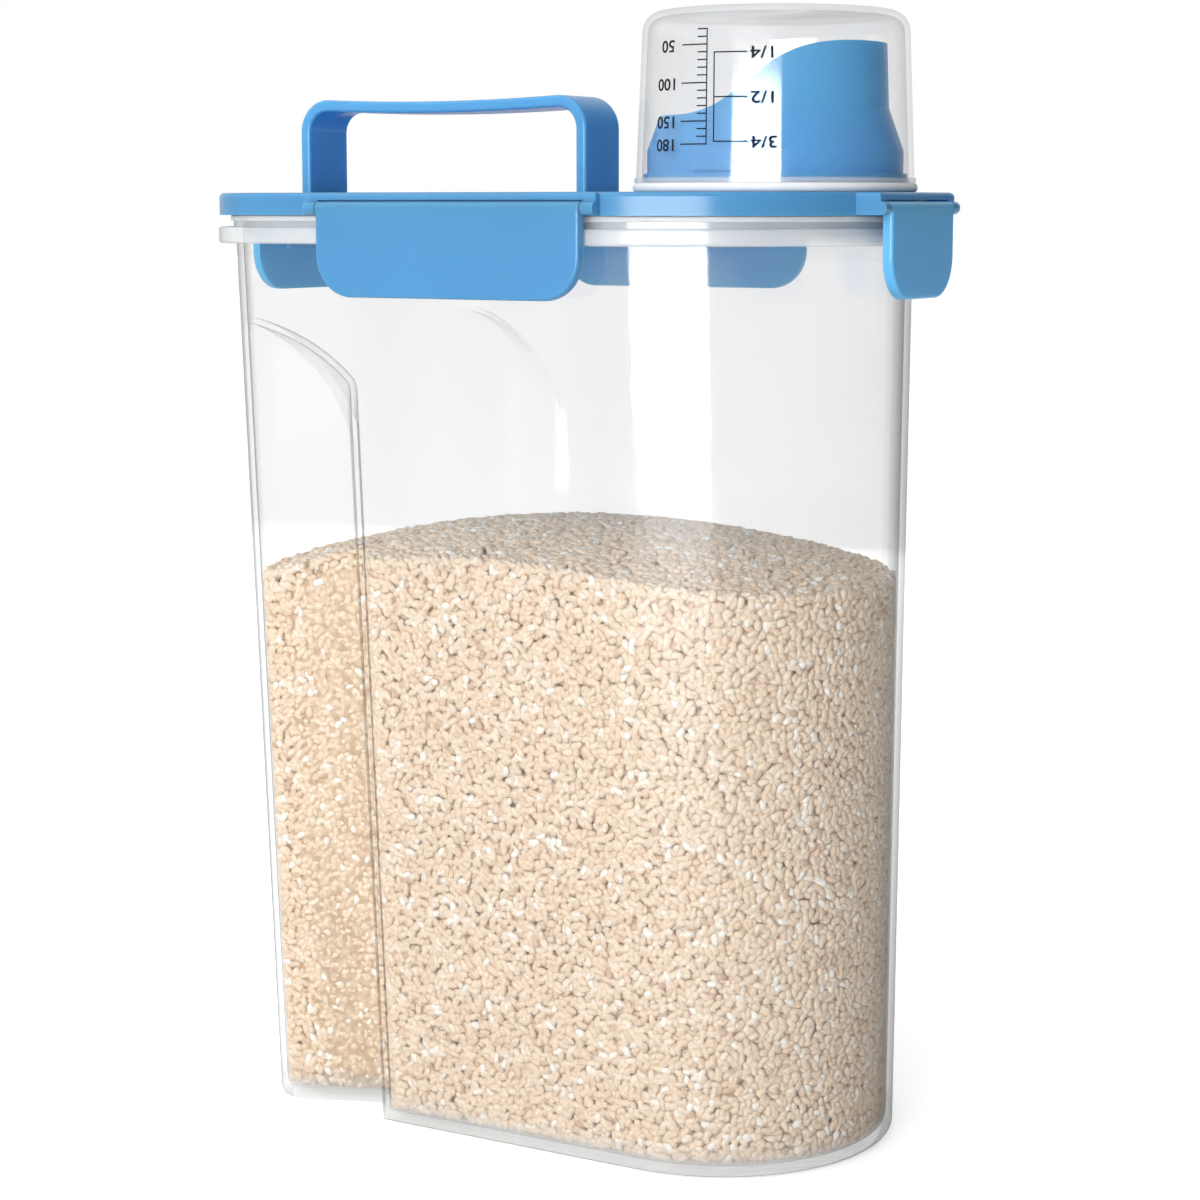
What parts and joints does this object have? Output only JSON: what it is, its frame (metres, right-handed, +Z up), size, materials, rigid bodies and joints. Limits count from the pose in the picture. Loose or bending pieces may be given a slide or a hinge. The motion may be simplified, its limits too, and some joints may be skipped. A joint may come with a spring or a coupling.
{
  "type": "rice storage container",
  "caption": "Clear upright food storage container with a latched lid, strap handle, pouring spout and an upturned measuring cup that covers the spout.",
  "frame": {"origin": "middle of the bounding box, on the resting face", "axes": "+X towards the spout, +Z up, +Y to the side away from the viewer in the picture"},
  "size_m": [0.2196, 0.1454, 0.337],
  "materials": {
    "clear_tub": "clear, polished",
    "clear_cup": "clear, polished",
    "white_seal": "soft white silicone",
    "blue_lid": "satin",
    "blue_handle": "satin",
    "blue_spout": "satin",
    "blue_latch": "satin",
    "hinge_pin": "drawn wire"
  },
  "bodies": {
    "container": {"container_body": "clear_tub"},
    "lid": {"lid": "blue_lid", "lid_gasket": "white_seal", "carry_handle": "blue_handle", "pour_spout": "blue_spout", "cup_seal": "white_seal", "near_side_latch_pin": "hinge_pin", "far_side_latch_pin": "hinge_pin", "front_latch_pin": "hinge_pin", "rear_latch_pin": "hinge_pin"},
    "measuring_cup": {"measuring_cup": "clear_cup"},
    "near_side_latch": {"near_side_latch": "blue_latch"},
    "far_side_latch": {"far_side_latch": "blue_latch"},
    "front_latch": {"front_latch": "blue_latch"},
    "rear_latch": {"rear_latch": "blue_latch"}
  },
  "joints": [
    {"name": "lid_lift", "type": "slide", "parent": "container", "child": "lid", "axis": [0, 0, 1], "range_m": [0, 0.02]},
    {"name": "near_side_latch_hinge", "type": "hinge", "parent": "lid", "child": "near_side_latch", "pos_m": [-0.0064, -0.0708, 0.2805], "axis": [-1, 0, 0], "range_deg": [0, 110]},
    {"name": "far_side_latch_hinge", "type": "hinge", "parent": "lid", "child": "far_side_latch", "pos_m": [-0.0064, 0.0708, 0.2805], "axis": [1, 0, 0], "range_deg": [0, 110]},
    {"name": "front_latch_hinge", "type": "hinge", "parent": "lid", "child": "front_latch", "pos_m": [0.1079, 0, 0.2805], "axis": [0, -1, 0], "range_deg": [0, 110]},
    {"name": "rear_latch_hinge", "type": "hinge", "parent": "lid", "child": "rear_latch", "pos_m": [-0.1079, 0, 0.2805], "axis": [0, 1, 0], "range_deg": [0, 110]},
    {"name": "cup_lift", "type": "slide", "parent": "lid", "child": "measuring_cup", "axis": [0, 0, 1], "range_m": [0, 0.06]}
  ],
  "couplings": [
    {"joint": "near_side_latch_hinge", "follows": "lid_lift", "rad_per_m": 95.993},
    {"joint": "far_side_latch_hinge", "follows": "lid_lift", "rad_per_m": 95.993},
    {"joint": "front_latch_hinge", "follows": "lid_lift", "rad_per_m": 95.993},
    {"joint": "rear_latch_hinge", "follows": "lid_lift", "rad_per_m": 95.993}
  ]
}
